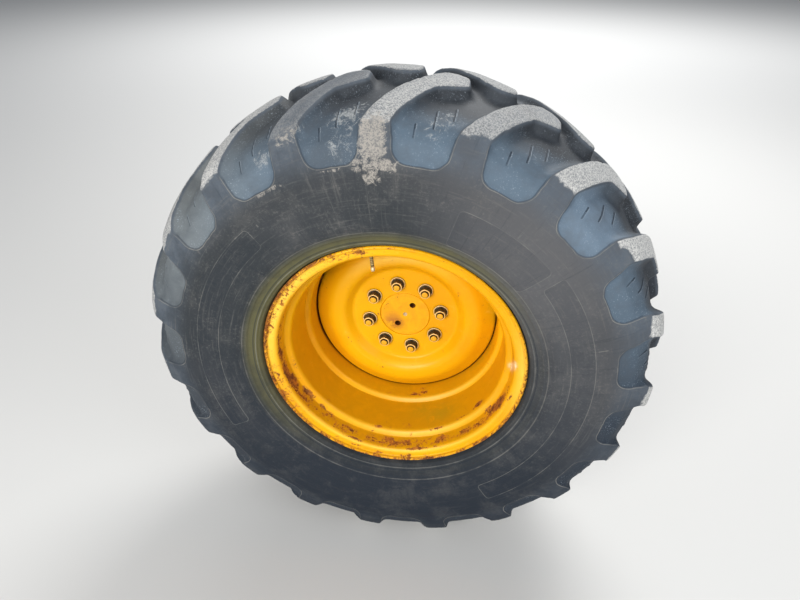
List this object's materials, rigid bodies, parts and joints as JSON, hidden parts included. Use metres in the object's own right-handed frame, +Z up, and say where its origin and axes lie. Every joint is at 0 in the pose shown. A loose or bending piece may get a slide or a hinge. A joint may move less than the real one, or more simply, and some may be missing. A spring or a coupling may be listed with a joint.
{
  "type": "backhoe loader rear wheel on axle arm",
  "caption": "Large lugged industrial tyre on a deep-dished yellow steel wheel, bolted to a flanged axle shaft that turns in a cast axle arm",
  "frame": {"origin": "centre of the axle arm's inner flange face, on the wheel axis", "axes": "+Y runs along the axle from the wheel to the middle of the machine, +X to the machine's front, +Z up"},
  "size_m": [1.32, 0.8305, 1.32],
  "materials": {
    "tyre_rubber": "worn and dusty, with paler scuffed lug tops",
    "yellow_paint": "gloss paint with rust specks and stains",
    "arm_casting": "painted rough casting, machined flange face",
    "machined_steel": "turned and oiled",
    "fixing_steel": "dark, rusted and partly painted over",
    "valve_brass": "dull brass"
  },
  "bodies": {
    "axle": {"axle_arm": "arm_casting", "bearing_cup": "machined_steel", "hub_seal": "fixing_steel"},
    "wheel": {"tyre": "tyre_rubber", "rim": "yellow_paint", "disc": "yellow_paint", "disc_welds": "yellow_paint", "valve_stem": "valve_brass", "valve_cap": "valve_brass", "wheel_studs": "fixing_steel", "wheel_nuts": "fixing_steel", "axle_shaft": "machined_steel", "shaft_nut": "fixing_steel", "bearing_cone": "machined_steel"}
  },
  "joints": [
    {"name": "wheel_spin", "type": "hinge", "parent": "axle", "child": "wheel", "pos_m": [0, 0, 0], "axis": [0, 1, 0], "continuous": true}
  ]
}
